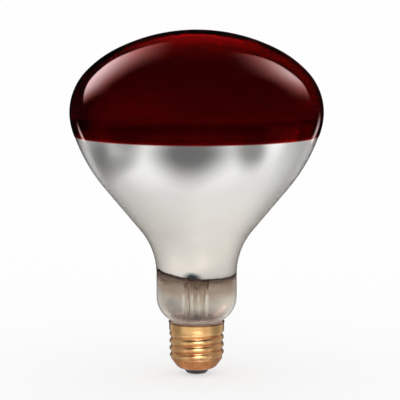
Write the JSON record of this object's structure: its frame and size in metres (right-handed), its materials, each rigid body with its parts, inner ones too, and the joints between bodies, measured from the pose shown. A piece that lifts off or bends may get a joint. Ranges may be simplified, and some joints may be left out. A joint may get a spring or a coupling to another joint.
{
  "type": "infrared heat lamp",
  "caption": "Reflector infrared heat lamp: ruby-faced blown glass bulb with a mirrored bowl, ring filament on a glass stem, and a brass medium screw cap.",
  "frame": {"origin": "centre of the worn flat on the centre contact's solder, the lowest point of the lamp", "axes": "+Z along the lamp's axis from the contact to the ruby face; the picture looks along +Y with +X to the right"},
  "size_m": [0.1234, 0.1234, 0.169],
  "materials": {
    "clear_glass": "clear blown glass, slightly grey",
    "ruby_glass": "glossy deep ruby stain",
    "mirror_film": "aluminium mirror deposited on glass, satin, thinning to a brown edge",
    "stem_glass": "lead glass tubing",
    "nickel_wire": "drawn nickel wire",
    "seal_wire": "copper-clad seal wire, oxidised red in the glass",
    "copper_wire": "tinned copper wire, dull",
    "tungsten_wire": "drawn tungsten and molybdenum wire",
    "mica": "pressed mica sheet",
    "cement": "baked basing cement, brown",
    "brass_shell": "rolled brass, tarnished with bright crests",
    "black_glass": "black moulded glass",
    "solder": "soft solder, dull"
  },
  "bodies": {
    "root": {"glass_envelope": "clear_glass", "ruby_coat": "ruby_glass", "mirror_coat": "mirror_film", "stem": "stem_glass", "exhaust_tube": "stem_glass", "hook_rod": "stem_glass", "inner_lead_left": "nickel_wire", "inner_lead_right": "nickel_wire", "seal_wire_left": "seal_wire", "seal_wire_right": "seal_wire", "fuse_lead": "copper_wire", "fuse_link": "nickel_wire", "contact_lead": "copper_wire", "rim_lead": "copper_wire", "filament": "tungsten_wire", "filament_hook_1": "tungsten_wire", "filament_hook_2": "tungsten_wire", "filament_hook_3": "tungsten_wire", "filament_hook_4": "tungsten_wire", "filament_hook_5": "tungsten_wire", "heat_disc": "mica", "disc_sleeves_left": "nickel_wire", "disc_sleeves_right": "nickel_wire", "basing_cement": "cement", "screw_shell": "brass_shell", "insulator": "black_glass", "centre_contact": "brass_shell", "centre_solder": "solder", "rim_solder": "solder"}
  },
  "joints": []
}
